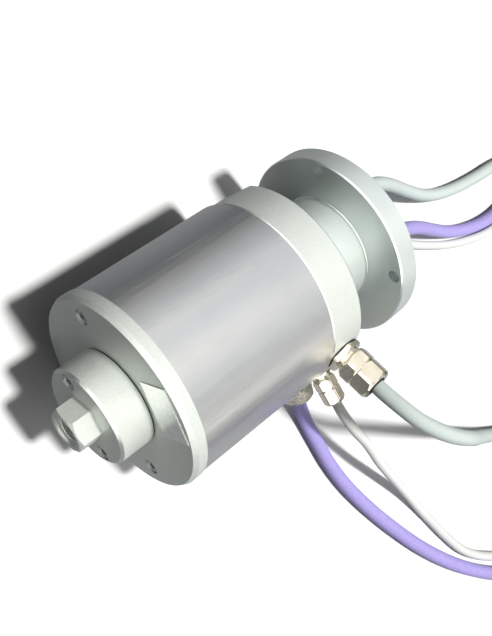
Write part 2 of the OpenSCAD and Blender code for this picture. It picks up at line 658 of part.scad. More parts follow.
module seat_ring(a, seat, af, len) {
    radial(a, x_gland, seat) difference() {
        cylinder(h = 0.7 * len / 22, r = af / cos(30) / 2 * 0.93);
        translate([0, 0, -1]) cylinder(h = 5, r = gland_thread(af) + 0.1);
    }
}
module gland_o_rings() {
    color(dark) seat_ring(gland_a_angle, gland_seat, gland_af, gland_len);
    color(dark) seat_ring(gland_d_angle, gland_seat, gland_af, gland_len);
    color(dark) seat_ring(gland_c_angle, small_gland_seat, small_gland_af, small_gland_len);
}

// ---- cables ----
floor_z = -cap_d / 2;
tie_t = 0.8;
coil_turns = 3;
coil_r = 42;
white_turns = 4;
white_coil_r = 31.5;
gland_tip = gland_seat + gland_len + insert_out;
small_tip = small_gland_seat + small_gland_len + insert_out;
function radial_point(a, x, r) = [x, -r * cos(a), r * sin(a)];
// the route's points are [x, y, height of the cable above lying flat]
function laid(points, d) = [for (p = points) [p[0], p[1], p[2] + floor_z + d / 2]];
// the first stretch of each runs straight out of its gland or grommet
stator_grey_route = concat([for (l = [0, 4]) radial_point(gland_a_angle, x_gland, gland_tip + l)], laid([
    [-50.5, -79.8, 82.5], [-47.7, -89, 84.3], [-43, -97.3, 85], [-38, -103.7, 84.5], [-30.5, -110.5, 82],
    [-21, -117, 76], [-8.5, -124.3, 63], [6, -132.3, 46.5], [23.5, -142, 29], [36, -149, 17.5], [48, -155.5, 7],
    [62, -162, 1], [80, -167, 0], [102, -168, 0.3], [125, -166.5, 0.8]], cable_d));
stator_white_route = concat([for (l = [0, 6]) radial_point(gland_c_angle, x_gland, small_tip + l)], laid([
    [-49.4, -86, 35], [-44, -99, 29.5], [-38, -115, 20.5], [-31, -130, 12], [-24, -146, 4], [-19, -164, 0],
    [-15.5, -180, 0], [-11, -194, 0], [-4, -204, 0], [6, -213, 0], [19, -223.5, 0], [33, -233.5, 0.4],
    [48, -239.5, 0.8]], white_d));
stator_violet_route = concat([for (l = [0, 3]) radial_point(gland_d_angle, x_gland, gland_tip + l)], laid([
    [-51.9, -69, 2.7], [-52.1, -74.7, 0.9], [-52.6, -81, 0.1], [-53.2, -89, 0], [-54, -101, 0], [-53, -117, 0],
    [-49, -135, 0], [-42, -156, 0], [-33, -177, 0], [-21, -197, 0], [-7, -214, 0], [10, -230, 0.2],
    [27.5, -247, 0.8]], cable_d));
rotor_grey_route = concat([for (x = [0, 10]) radial_point(outlets[0][0], x, outlet_r)], laid([[22, 14.2, 52.5],
    [38, 12.5, 45.5], [55, 8.5, 35], [71, 2.5, 24], [86, -4.5, 14], [101, -12, 6], [117, -18, 1], [134, -22, 0],
    [155, -24.5, 0], [178, -26, 0], [202, -30, 0], [228, -38, 0.3], [257, -42, 0.8]], cable_d));
rotor_violet_route = concat([for (x = [0, 10]) radial_point(outlets[1][0], x, outlet_r)], laid([[22, -15, 52.5],
    [38, -17, 45.5], [55, -21, 35], [71, -26, 24], [86, -32, 14], [101, -38.8, 6], [117, -45.3, 1], [136, -50.4, 0],
    [156, -51.5, 0], [178, -48, 0], [202, -45.8, 0], [230, -50.5, 0.3], [260, -54, 0.8]], cable_d));
rotor_white_route = concat([for (x = [0, 8]) radial_point(outlets[2][0], x, outlet_r)], laid([[18, -1, 28.5],
    [31, -5, 22], [45, -12, 14], [59, -20.5, 5.5], [73, -30, 0.8], [88, -39.5, 0], [104, -48, 0], [122, -54.5, 0],
    [141, -58.5, 0], [161, -58.3, 0.3], [182, -55.8, 0.8]], white_d));
function unit(v) = v / norm(v);
// direction of a route at its point i
function heading(p, i) = unit(p[min(i + 1, len(p) - 1)] - p[max(i - 1, 0)]);
// ring of points round a route's point i, level on its sides
function loop_points(p, i, r, n) =
    let (t = heading(p, i), side = unit(cross(t, [0, 0, 1])), up = cross(side, t))
    [for (k = [0:n - 1]) p[i] + r * (cos(k * 360 / n) * side + sin(k * 360 / n) * up)];
// tube of diameter d along the points p
module tube(p, d) {
    n = 10;
    last = (len(p) - 1) * n;
    polyhedron(points = [for (i = [0:len(p) - 1]) each loop_points(p, i, d / 2, n)], faces = concat(
        [[for (k = [0:n - 1]) k]],
        [for (i = [0:len(p) - 2], k = [0:n - 1]) each [
            [i * n + k, (i + 1) * n + k, (i + 1) * n + (k + 1) % n],
            [i * n + k, (i + 1) * n + (k + 1) % n, i * n + (k + 1) % n]]],
        [[for (k = [n - 1:-1:0]) last + k]]));
}
// coil of n turns lying on its ties
module coil(c, r, d, n) {
    h = n * d;
    e = d * 0.3;
    translate([c[0], c[1], floor_z + tie_t]) rotate_extrude() translate([r, 0]) polygon([[-d / 2 + e, 0],
        [d / 2 - e, 0], [d / 2, e], [d / 2, h - e], [d / 2 - e, h], [-d / 2 + e, h], [-d / 2, h - e], [-d / 2, e]]);
}
// two cable ties round a coil, at the angle first and opposite
module ties(c, r, d, n, first) {
    h = n * d;
    e = tie_t + 0.1;
    for (a = [first, first + 180]) translate([c[0], c[1], floor_z]) rotate([0, 0, a]) translate([r, 0, 0])
        rotate([90, 0, 0]) translate([0, 0, -2]) {
            linear_extrude(4) difference() {
                translate([-d / 2 - e, 0]) square([d + 2 * e, h + 2 * e]);
                translate([-d / 2 - 0.1, tie_t - 0.02]) square([d + 0.2, h + 0.12]);
            }
            translate([-d / 2 + 1, h + 2 * e - 0.2, -0.6]) cube([d / 2 + 1, 3, 5.2]);
        }
}
a_coil = [145, -208];
c_coil = [63.5, -209.5];
d_coil = [12, -291];
g_coil = [277, 0];
v_coil = [280, -96];
w_coil = [198, -86.5];
module stator_grey_cable() { color(grey) tube(stator_grey_route, cable_d); }
module stator_grey_coil() { color(grey) coil(a_coil, coil_r, cable_d, coil_turns); }
module stator_grey_ties() { color(dark) ties(a_coil, coil_r, cable_d, coil_turns, 140); }
module stator_white_cable() { color(white) tube(stator_white_route, white_d); }
module stator_white_coil() { color(white) coil(c_coil, white_coil_r, white_d, white_turns); }
module stator_white_ties() { color(dark) ties(c_coil, white_coil_r, white_d, white_turns, 0); }
module stator_violet_cable() { color(violet) tube(stator_violet_route, cable_d); }
module stator_violet_coil() { color(violet) coil(d_coil, coil_r, cable_d, coil_turns); }
module stator_violet_ties() { color(dark) ties(d_coil, coil_r, cable_d, coil_turns, 100); }
module rotor_grey_cable() { color(grey) tube(rotor_grey_route, cable_d); }
module rotor_grey_coil() { color(grey) coil(g_coil, coil_r, cable_d, coil_turns); }
module rotor_grey_ties() { color(dark) ties(g_coil, coil_r, cable_d, coil_turns, 0); }
module rotor_white_cable() { color(white) tube(rotor_white_route, white_d); }
module rotor_white_coil() { color(white) coil(w_coil, white_coil_r, white_d, white_turns); }
module rotor_white_ties() { color(dark) ties(w_coil, white_coil_r, white_d, white_turns, 0); }
module rotor_violet_cable() { color(violet) tube(rotor_violet_route, cable_d); }
module rotor_violet_coil() { color(violet) coil(v_coil, coil_r, cable_d, coil_turns); }
module rotor_violet_ties() { color(dark) ties(v_coil, coil_r, cable_d, coil_turns, 0); }

port_fitting();
port_o_ring();
union_hub();
hub_seal();
hub_screws();
union_seals();
union_bush();
front_cap();
tie_screws();
rating_plate();
casing_tube();
casing_o_rings();
rear_cap();
shaft_seal();
front_bearing_outer();
rear_bearing_outer();
bearing_circlip();
brush_block();
brush_rods();
brush_wires();
gland_bodies();
gland_nuts();
small_gland_body();
small_gland_nut();
gland_inserts();
gland_o_rings();
rotor_flange();
rotor_shaft();
union_tube();
slip_rings();
ring_insulators();
ring_nut();
spacer_sleeve();
front_bearing_inner();
front_bearing_balls();
front_bearing_cage();
rear_bearing_inner();
rear_bearing_balls();
rear_bearing_cage();
cable_grommets();
stator_grey_cable();
stator_grey_coil();
stator_grey_ties();
stator_white_cable();
stator_white_coil();
stator_white_ties();
stator_violet_cable();
stator_violet_coil();
stator_violet_ties();
rotor_grey_cable();
rotor_grey_coil();
rotor_grey_ties();
rotor_white_cable();
rotor_white_coil();
rotor_white_ties();
rotor_violet_cable();
rotor_violet_coil();
rotor_violet_ties();
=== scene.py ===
"""Slip ring with a rotary union, lying on a table with its cables: finishes, cables, threads, studio."""
import json
import math

import bmesh
import bpy
import numpy as np
from mathutils import Matrix, Vector


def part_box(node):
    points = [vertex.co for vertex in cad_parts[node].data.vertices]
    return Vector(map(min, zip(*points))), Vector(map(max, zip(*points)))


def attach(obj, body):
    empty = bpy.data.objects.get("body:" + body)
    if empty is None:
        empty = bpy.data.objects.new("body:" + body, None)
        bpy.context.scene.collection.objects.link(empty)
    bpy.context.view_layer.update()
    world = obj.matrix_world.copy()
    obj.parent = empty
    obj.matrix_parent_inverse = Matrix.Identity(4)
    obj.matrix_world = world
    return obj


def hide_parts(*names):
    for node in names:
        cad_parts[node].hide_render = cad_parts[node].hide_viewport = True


bl_info = {
    "name": "Slip Ring Finisher",
    "version": (1, 0, 0),
    "blender": (4, 5, 0),
    "location": "3D View > Sidebar > Slip Ring",
    "description": "Cables, threads, finishes and studio for a slip ring with a rotary union",
    "category": "Object",
}

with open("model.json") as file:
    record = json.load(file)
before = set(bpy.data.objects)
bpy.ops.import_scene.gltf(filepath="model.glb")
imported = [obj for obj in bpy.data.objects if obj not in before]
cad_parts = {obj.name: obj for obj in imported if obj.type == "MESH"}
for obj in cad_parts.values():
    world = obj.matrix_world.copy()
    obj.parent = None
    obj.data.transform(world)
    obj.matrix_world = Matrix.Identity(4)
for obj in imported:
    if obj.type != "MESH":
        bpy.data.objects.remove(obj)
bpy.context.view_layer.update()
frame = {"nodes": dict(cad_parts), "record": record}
MM = 0.001
FLOOR_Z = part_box("rotor_flange")[0][2]
WHITE = (1, 1, 1, 1)


def linear(hex_colour):
    """Linear colour from an sRGB hex value."""
    parts = [int(hex_colour[i:i + 2], 16) / 255 for i in (1, 3, 5)]
    return tuple(c / 12.92 if c <= 0.04045 else ((c + 0.055) / 1.055) ** 2.4 for c in parts) + (1.0,)


# ---------------------------------------------------------------- settings


def length_prop(name, millimetres, what):
    return bpy.props.FloatProperty(
        name=name, description=what, default=millimetres * MM, min=0, unit="LENGTH")


def colour_prop(name, hex_colour, what):
    return bpy.props.FloatVectorProperty(
        name=name, description=what, subtype="COLOR", size=4, min=0, max=1, default=linear(hex_colour))


class SlipRingSizes(bpy.types.PropertyGroup):
    """Sizes of the cables and of the ports' threads."""
    cable_d: length_prop("Cable", 8, "Diameter of the grey and violet cables")
    white_d: length_prop("White cable", 5.5, "Diameter of the white cables")
    lead_l: length_prop("Lead", 1000, "Length of each cable outside the housing")
    coil_r: length_prop("Coil", 42, "Radius of the grey and violet cables' coils")
    white_coil_r: length_prop("White coil", 31.5, "Radius of the white cables' coils")
    coil_turns: bpy.props.IntProperty(
        name="Turns", description="Turns in each grey or violet coil", default=3, min=1, max=6)
    white_turns: bpy.props.IntProperty(
        name="White turns", description="Turns in each white coil", default=4, min=1, max=6)
    tie_t: length_prop("Tie", 0.8, "Thickness of the ties that a coil lies on")
    port_d: length_prop("Port", 13.2, "Diameter at the root of the ports' thread")
    thread_pitch: length_prop("Thread pitch", 1.337, "Pitch of the thread in the ports")
    thread_depth: length_prop("Thread depth", 0.8, "Depth of the thread in the ports")
    port_thread_l: length_prop("Stator thread", 12, "Length of the thread in the stator's port")
    rotor_thread_l: length_prop("Rotor thread", 8.5, "Length of the thread in the rotor's port")
    thread_inset: length_prop("Thread inset", 0.9, "Depth of the thread's start below a port's mouth")


class SlipRingColours(bpy.types.PropertyGroup):
    """Colours of the finishes and of the light."""
    aluminium: colour_prop("Anodised aluminium", "#F1F7F0", "Clear anodised, bead-blasted aluminium")
    turned: colour_prop("Turned aluminium", "#EEF6F2", "Clear anodised, turned aluminium")
    casing: colour_prop("Casing", "#D7D9D8", "Drawn aluminium tube")
    nickel: colour_prop("Nickel", "#EDE6D3", "Nickel plating on the glands")
    steel: colour_prop("Steel", "#C4C6C4", "Stainless steel screws")
    plate: colour_prop("Plate", "#F2F4F1", "Bare rating plate")
    grey: colour_prop("Grey sheath", "#D3DFDA", "Grey cable sheath")
    white: colour_prop("White sheath", "#ECEEEA", "White cable sheath")
    violet: colour_prop("Violet sheath", "#B9ADF0", "Violet cable sheath")
    rubber: colour_prop("Rubber", "#161616", "Seals and inserts")
    floor: colour_prop("Floor", "#A9AAAD", "Pale table top")
    warm: colour_prop("Warm light", "#FFF8F0", "Bright patches of the room that metal mirrors")
    cool: colour_prop("Cool light", "#DDE4EE", "Dark patches of the room that metal mirrors")
    # painted shade: the colour that the table top darkens to away from its painted pool of light
    room: colour_prop("Room", "#303338", "Dim room past the table")
    key: colour_prop("Key light", "#FFFEFC", "Lamp nearly overhead")


# ---------------------------------------------------------------- materials


def add_node(tree, kind, settings=None, inputs=None):
    """Adds a node; inputs maps a socket to a value or to another node's output socket."""
    made = tree.nodes.new(kind)
    for key, value in (settings or {}).items():
        setattr(made, key, value)
    for key, value in (inputs or {}).items():
        if isinstance(value, bpy.types.NodeSocket):
            tree.links.new(value, made.inputs[key])
        else:
            made.inputs[key].default_value = value
    return made


def new_material(name, colour, metallic, roughness, **sockets):
    """A material with one Principled shader; returns it with its tree and shader."""
    made = bpy.data.materials.new(name)
    made.use_nodes = True
    tree = made.node_tree
    shader = tree.nodes["Principled BSDF"]
    values = {"Base Color": colour, "Metallic": metallic, "Roughness": roughness, **sockets}
    for key, value in values.items():
        shader.inputs[key].default_value = value
    return made, tree, shader


NOISE_RANGE = (0.3, 0.7)  # what the noise mostly lies between


def grain(tree, size_mm, detail=3.0, stretch=(1, 1, 1)):
    """Noise whose spots are about size_mm wide; a stretch under 1 draws them out along that axis."""
    coords = add_node(tree, "ShaderNodeTexCoord")
    scale = [share / (size_mm * MM) for share in stretch]
    place = add_node(tree, "ShaderNodeMapping", None, {"Vector": coords.outputs["Object"], "Scale": scale})
    noise = add_node(tree, "ShaderNodeTexNoise", None, {
        "Vector": place.outputs["Vector"], "Scale": 1.0, "Detail": detail})
    return noise.outputs["Fac"]


def spread(tree, value, low, high, at=NOISE_RANGE):
    """Maps a value that lies in the range at, which is the noise's own by default, to low up to high."""
    return add_node(tree, "ShaderNodeMapRange", None, {
        "Value": value, "From Min": at[0], "From Max": at[1],
        "To Min": low, "To Max": high}).outputs["Result"]


def vary(tree, shader, colour, value, share):
    """Links the base colour: whole where value is 1, and darker by share where it is 0."""
    dark = tuple(c * (1 - share) for c in colour[:3]) + (1.0,)
    mix = add_node(tree, "ShaderNodeMix", {"data_type": "RGBA"}, {"Factor": value, "A": dark, "B": colour})
    tree.links.new(mix.outputs["Result"], shader.inputs["Base Color"])


def emboss(tree, shader, height, strength, depth_mm):
    """Links a bump of that depth to the shader."""
    bump = add_node(tree, "ShaderNodeBump", None, {
        "Height": height, "Strength": strength, "Distance": depth_mm * MM})
    tree.links.new(bump.outputs["Normal"], shader.inputs["Normal"])


CHAMFER_SLOPE = math.sqrt(0.5)  # share of the normal that points along the axis, on a chamfer of 45 degrees
CHAMFER_SPAN = 0.12  # how far from that a chamfer's share may be
CHAMFER_ROUGH = 0.3


def cut_edges(tree, shader, roughness):
    """Gives the surface that roughness, and bares the metal on its outer chamfers, cut through the film."""
    coords = add_node(tree, "ShaderNodeTexCoord")
    normal = coords.outputs["Normal"]
    along = add_node(tree, "ShaderNodeMath", {"operation": "ABSOLUTE"}, {
        0: add_node(tree, "ShaderNodeSeparateXYZ", None, {0: normal}).outputs["X"]})
    slope = add_node(tree, "ShaderNodeMath", {"operation": "COMPARE"}, {
        0: along.outputs["Value"], 1: CHAMFER_SLOPE, 2: CHAMFER_SPAN})
    # only faces that look away from the axis, so that the mouth of a bore stays as it is
    radial = add_node(tree, "ShaderNodeVectorMath", {"operation": "MULTIPLY"}, {
        0: coords.outputs["Object"], 1: (0, 1, 1)})
    outward = add_node(tree, "ShaderNodeVectorMath", {"operation": "DOT_PRODUCT"}, {
        0: radial.outputs[0], 1: normal})
    outer = add_node(tree, "ShaderNodeMath", {"operation": "GREATER_THAN"}, {
        0: outward.outputs["Value"], 1: 0.0})
    edge = add_node(tree, "ShaderNodeMath", {"operation": "MULTIPLY"}, {
        0: slope.outputs["Value"], 1: outer.outputs["Value"]}).outputs["Value"]
    shine = add_node(tree, "ShaderNodeMix", {"data_type": "FLOAT"}, {
        "Factor": edge, "A": shader.inputs["Metallic"].default_value, "B": 1.0})
    gloss = add_node(tree, "ShaderNodeMix", {"data_type": "FLOAT"}, {
        "Factor": edge, "A": roughness, "B": CHAMFER_ROUGH})
    tree.links.new(shine.outputs["Result"], shader.inputs["Metallic"])
    tree.links.new(gloss.outputs["Result"], shader.inputs["Roughness"])


def blasted_aluminium(colours):
    """Bead-blasted, clear anodised aluminium: a fine dull grain and a wide soft highlight.

    The film over the blasted surface scatters part of the light, so the metallic share is below 1.
    Blasting leaves spots of about 0.1 mm, drawn at 1 mm so that they show.
    """
    made, tree, shader = new_material("Bead-blasted anodised aluminium", colours.aluminium, 0.45, 0.46)
    grit, cloud = grain(tree, 1.0), grain(tree, 20, 4.0)
    mottle = add_node(tree, "ShaderNodeMath", {"operation": "MULTIPLY"}, {
        0: spread(tree, grit, 0.35, 1, (0.35, 0.65)), 1: spread(tree, cloud, 0.6, 1)})
    vary(tree, shader, colours.aluminium, mottle.outputs["Value"], 0.1)
    cut_edges(tree, shader, spread(tree, grit, 0.38, 0.56))
    emboss(tree, shader, grit, 0.8, 0.2)
    return made


def turned_aluminium(colours):
    """Turned aluminium, anodised without blasting: faint tool marks round the axis, a little shinier.

    The feed of about 0.15 mm is drawn at 0.8 mm so that it shows.
    """
    made, tree, shader = new_material("Turned anodised aluminium", colours.turned, 0.6, 0.4)
    marks, cloud = grain(tree, 0.8, 2.0, (1, 0.02, 0.02)), grain(tree, 25, 4.0)
    vary(tree, shader, colours.turned, spread(tree, cloud, 0, 1), 0.08)
    cut_edges(tree, shader, spread(tree, marks, 0.36, 0.48))
    emboss(tree, shader, marks, 0.2, 0.05)
    return made


SCRATCH_AT = (0.64, 0.66)  # noise at which a scratch starts, and at which it is full; little of it is so high
SCRATCH_HEIGHT, LINE_HEIGHT = 8.0, 0.5  # how strongly scratches and draw lines show, against each other


def drawn_tube(colours):
    """Drawn and anodised aluminium tube: silky, with faint draw lines along it and a few fine scratches.

    Smoother than the caps, it mirrors the table and the ceiling as soft bands. Draw lines of about
    0.2 mm are drawn at 1.6 mm and scratches of about 0.1 mm at 0.9 mm so that they show.
    """
    made, tree, shader = new_material("Drawn anodised aluminium tube", colours.casing, 0.93, 0.34)
    lines = grain(tree, 1.6, 3.0, (0.02, 1, 1))
    scratches = grain(tree, 0.9, 1.0, (0.05, 1, 1))
    cloud = grain(tree, 35, 5.0)
    vary(tree, shader, colours.casing, spread(tree, cloud, 0, 1), 0.08)
    tree.links.new(spread(tree, lines, 0.3, 0.4), shader.inputs["Roughness"])
    both = add_node(tree, "ShaderNodeMath", {"operation": "ADD"}, {
        0: spread(tree, lines, 0, LINE_HEIGHT), 1: spread(tree, scratches, 0, SCRATCH_HEIGHT, SCRATCH_AT)})
    emboss(tree, shader, both.outputs["Value"], 0.25, 0.03)
    return made


def cut_thread():
    """Aluminium thread, tapped after blasting and left bare: bright flanks with fine cutting marks.

    Marks of about 0.1 mm, drawn at 0.8 mm so that they show.
    """
    made, tree, shader = new_material("Cut bare aluminium", linear("#F0F2EE"), 1.0, 0.2)
    tree.links.new(spread(tree, grain(tree, 0.8), 0.15, 0.27), shader.inputs["Roughness"])
    return made


def nickel_plating(colours):
    """Nickel-plated brass: bright and slightly warm on machined flats, with faint cutting marks.

    Marks of about 0.2 mm, drawn at 1.2 mm so that they show.
    """
    made, tree, shader = new_material("Nickel-plated brass", colours.nickel, 1.0, 0.1)
    marks = grain(tree, 1.2, 3.0)
    vary(tree, shader, colours.nickel, spread(tree, grain(tree, 6), 0, 1), 0.16)
    tree.links.new(spread(tree, marks, 0.07, 0.14), shader.inputs["Roughness"])
    emboss(tree, shader, marks, 0.12, 0.04)
    return made


def machined_steel(colours):
    """Machined stainless steel: bright, with fine marks.

    Marks of about 0.1 mm, drawn at 0.8 mm so that they show.
    """
    made, tree, shader = new_material("Machined stainless steel", colours.steel, 1.0, 0.26)
    marks = grain(tree, 0.8)
    vary(tree, shader, colours.steel, spread(tree, marks, 0, 1), 0.12)
    tree.links.new(spread(tree, marks, 0.2, 0.34), shader.inputs["Roughness"])
    return made


def label_plate(colours):
    """Bare brushed aluminium label: pale, with fine lines across it.

    Brush lines of about 0.1 mm, drawn at 0.7 mm so that they show.
    """
    made, tree, shader = new_material("Brushed label aluminium", colours.plate, 0.9, 0.25)
    brush = grain(tree, 0.7, 2.0, (1, 0.06, 1))
    vary(tree, shader, colours.plate, spread(tree, brush, 0, 1), 0.07)
    tree.links.new(spread(tree, brush, 0.2, 0.3), shader.inputs["Roughness"])
    emboss(tree, shader, brush, 0.15, 0.03)
    return made


def sheath(name, colour, rough, texture):
    """Extruded PVC sheath over a braided screen: silky, with the braid faintly showing through.

    Braid strands of 0.2 mm are drawn at 1.1 mm so that they show, more strongly with a higher texture.
    """
    made, tree, shader = new_material(name, colour, 0.0, rough, IOR=1.53)
    strands, cloud = grain(tree, 1.1, 2.0), grain(tree, 9, 3.0)
    vary(tree, shader, colour, spread(tree, strands, 0, 1), 0.05 + texture * 0.12)
    tree.links.new(spread(tree, cloud, rough - 0.05, rough + 0.07), shader.inputs["Roughness"])
    emboss(tree, shader, strands, 0.15 + texture * 0.3, 0.15)
    return made


def small_finish(name, colour, metallic, roughness, size_mm):
    """Finish of a small or inner part: its colour and gloss with grain of that size."""
    made, tree, shader = new_material(name, colour, metallic, roughness)
    spots = grain(tree, size_mm)
    vary(tree, shader, colour, spread(tree, spots, 0, 1), 0.15)
    tree.links.new(spread(tree, spots, roughness * 0.85, roughness * 1.2), shader.inputs["Roughness"])
    return made


def all_finishes(colours):
    """Each material slot of the record with its material."""
    return {
        "satin_aluminium": blasted_aluminium(colours),
        "turned_aluminium": turned_aluminium(colours),
        "casing_metal": drawn_tube(colours),
        "nickel_plated_brass": nickel_plating(colours),
        "stainless_steel": machined_steel(colours),
        "plate_metal": label_plate(colours),
        # matt black, barely glossy where it is squeezed
        "black_rubber": small_finish("Black nitrile rubber", colours.rubber, 0.0, 0.5, 1.5),
        # ground and polished: near mirror
        "bearing_steel": small_finish("Ground bearing steel", linear("#B5B7B9"), 1.0, 0.12, 1.0),
        # dark oxide film over steel
        "spring_steel": small_finish("Blackened spring steel", linear("#3A3A3C"), 1.0, 0.35, 1.0),
        # warm yellow, slightly dull from pressing
        "cage_brass": small_finish("Pressed brass", linear("#C9A25A"), 1.0, 0.3, 1.0),
        # brown yellow with turning marks
        "bronze": small_finish("Turned bronze", linear("#B98A55"), 1.0, 0.3, 0.8),
        # thin bright gold over nickel, worn smooth by the brushes
        "gold_plated": small_finish("Gold plating", linear("#E3B65C"), 1.0, 0.15, 1.0),
        # opaque cream resin
        "ring_insulation": small_finish("Cast epoxy", linear("#D9CFB0"), 0.0, 0.5, 4),
        # green laminate under a clear mask
        "brush_board": small_finish("Glass-epoxy board", linear("#1F4A36"), 0.0, 0.4, 2),
        # black, slightly glossy from the mould
        "tie_nylon": small_finish("Moulded nylon", linear("#202020"), 0.0, 0.4, 1.5),
    }


# ---------------------------------------------------------------- cables

# Each cable's exit from the housing, the way that it points, and its straight run from there, in millimetres.
EXITS = {
    "stator_grey": ((-51.85, -65.526, 30.556), (0, -0.90631, 0.42262), 4),
    "stator_white": ((-51.85, -68.585, -8.421), (0, -0.99255, -0.12187), 6),
    "stator_violet": ((-51.85, -60.977, -38.847), (0, -0.84339, -0.53730), 3),
    "rotor_grey": ((0, 14.722, 8.5), (1, 0, 0), 10),
    "rotor_violet": ((0, -14.722, 8.5), (1, 0, 0), 10),
    "rotor_white": ((0, 0, -17), (1, 0, 0), 8),
}
# The points that each cable then follows to its coil, in millimetres: x, y and height above lying flat.
ROUTES = {
    "stator_grey": [
        (-50.5, -79.8, 82.5), (-47.7, -89, 84.3), (-43, -97.3, 85), (-38, -103.7, 84.5), (-30.5, -110.5, 82),
        (-21, -117, 76), (-8.5, -124.3, 63), (6, -132.3, 46.5), (23.5, -142, 29), (36, -149, 17.5),
        (48, -155.5, 7), (62, -162, 1), (80, -167, 0), (102, -168, 0.3), (125, -166.5, 0.8)],
    "stator_white": [
        (-49.4, -86, 35), (-44, -99, 29.5), (-38, -115, 20.5), (-31, -130, 12), (-24, -146, 4),
        (-19, -164, 0), (-15.5, -180, 0), (-11, -194, 0), (-4, -204, 0), (6, -213, 0), (19, -223.5, 0),
        (33, -233.5, 0.4), (48, -239.5, 0.8)],
    "stator_violet": [
        (-51.9, -69, 2.7), (-52.1, -74.7, 0.9), (-52.6, -81, 0.1), (-53.2, -89, 0), (-54, -101, 0),
        (-53, -117, 0), (-49, -135, 0), (-42, -156, 0), (-33, -177, 0), (-21, -197, 0), (-7, -214, 0),
        (10, -230, 0.2), (27.5, -247, 0.8)],
    "rotor_grey": [
        (22, 14.2, 52.5), (38, 12.5, 45.5), (55, 8.5, 35), (71, 2.5, 24), (86, -4.5, 14), (101, -12, 6),
        (117, -18, 1), (134, -22, 0), (155, -24.5, 0), (178, -26, 0), (202, -30, 0), (228, -38, 0.3),
        (257, -42, 0.8)],
    "rotor_violet": [
        (22, -15, 52.5), (38, -17, 45.5), (55, -21, 35), (71, -26, 24), (86, -32, 14), (101, -38.8, 6),
        (117, -45.3, 1), (136, -50.4, 0), (156, -51.5, 0), (178, -48, 0), (202, -45.8, 0), (230, -50.5, 0.3),
        (260, -54, 0.8)],
    "rotor_white": [
        (18, -1, 28.5), (31, -5, 22), (45, -12, 14), (59, -20.5, 5.5), (73, -30, 0.8), (88, -39.5, 0),
        (104, -48, 0), (122, -54.5, 0), (141, -58.5, 0), (161, -58.3, 0.3), (182, -55.8, 0.8)],
}
# The angle at which each cable joins its coil, in degrees, and the sense that it turns in.
COIL_ENTRY = {
    "stator_grey": (90, -1), "stator_white": (-90, 1), "stator_violet": (45, -1),
    "rotor_grey": (-90, 1), "rotor_violet": (90, -1), "rotor_white": (90, -1),
}
COIL_STEPS = 36  # points for each turn of a coil
RAMP = (0.74, 0.22)  # where a turn starts to climb onto the next, and how long it climbs, as shares of a turn
SECTION_STEPS = 6  # roundness of a cable's section


def coil_points(name, radius, diameter, turns, lift):
    """Points of a coil: flat turns on each other, each with a ramp up to the next, lifted off the floor."""
    low, high = (Vector(corner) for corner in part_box(name + "_coil"))
    centre = (low + high) / 2
    start, sense = COIL_ENTRY[name]
    points = []
    for k in range(turns * COIL_STEPS - 1):
        turn, share = divmod(k / COIL_STEPS, 1.0)
        climb = min(max((share - RAMP[0]) / RAMP[1], 0.0), 1.0)
        climb = climb * climb * (3 - 2 * climb) if turn + 1 < turns else 0.0
        angle = math.radians(start) + sense * 2 * math.pi * k / COIL_STEPS
        level = FLOOR_Z + lift + diameter * (turn + 0.5 + climb)
        across, along = radius * math.cos(angle), radius * math.sin(angle)
        points.append(Vector((centre.x + across, centre.y + along, level)))
    return points


def smooth_path(points, step):
    """Points about a step apart on a smooth curve through the given ones.

    Between b and c it follows the tangents m1 and m2, which also heed the neighbours a and d.
    """
    path = []
    for i in range(len(points) - 1):
        a, b, c, d = points[max(i - 1, 0)], points[i], points[i + 1], points[min(i + 2, len(points) - 1)]
        ab, bc, cd = (a - b).length ** 0.5, (b - c).length ** 0.5, (c - d).length ** 0.5
        m1 = (c - b) + bc * ((b - a) / ab - (c - a) / (ab + bc)) if i else c - b
        m2 = (c - b) + bc * ((d - c) / cd - (d - b) / (bc + cd)) if i + 2 < len(points) else c - b
        count = max(2, round((c - b).length / step))
        for k in range(count):
            t = k / count
            path.append(b * (2 * t**3 - 3 * t**2 + 1) + m1 * (t**3 - 2 * t**2 + t)
                        + c * (3 * t**2 - 2 * t**3) + m2 * (t**3 - t**2))
    path.append(points[-1])
    return path


def cut_to(path, length):
    """The path's first part, cut at that length, and the length it has."""
    kept, done = [path[0]], 0.0
    for a, b in zip(path, path[1:]):
        step = (b - a).length
        if done + step >= length:
            kept.append(a + (b - a) * ((length - done) / step))
            return kept, length
        kept.append(b)
        done += step
    return kept, done


def cable(name, sizes, finish):
    """One cable from its exit to the end of its coil, as a round curve."""
    body, colour = name.split("_")
    thin = colour == "white"
    diameter = sizes.white_d if thin else sizes.cable_d
    lying = FLOOR_Z + diameter / 2
    exit_at, way, straight = EXITS[name]
    start = Vector(exit_at) * MM
    points = [start, start + Vector(way) * MM * straight]
    points += [Vector((x * MM, y * MM, lying + z * MM)) for x, y, z in ROUTES[name]]
    points += coil_points(name, sizes.white_coil_r if thin else sizes.coil_r, diameter,
                          sizes.white_turns if thin else sizes.coil_turns, sizes.tie_t)
    path, length = cut_to(smooth_path(points, diameter / 2), sizes.lead_l)
    for place in path:
        place.z = max(place.z, lying)
    curve = bpy.data.curves.new(name + "_lead", "CURVE")
    curve.dimensions = "3D"
    curve.bevel_depth = diameter / 2
    curve.bevel_resolution = SECTION_STEPS
    curve.use_fill_caps = True
    spline = curve.splines.new("POLY")
    spline.points.add(len(path) - 1)
    for point, place in zip(spline.points, path):
        point.co = (*place, 1)
    lead = bpy.data.objects.new(name + "_lead", curve)
    bpy.context.collection.objects.link(lead)
    curve.materials.append(finish)
    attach(lead, body)
    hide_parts(name + "_cable", name + "_coil")


# ---------------------------------------------------------------- threads

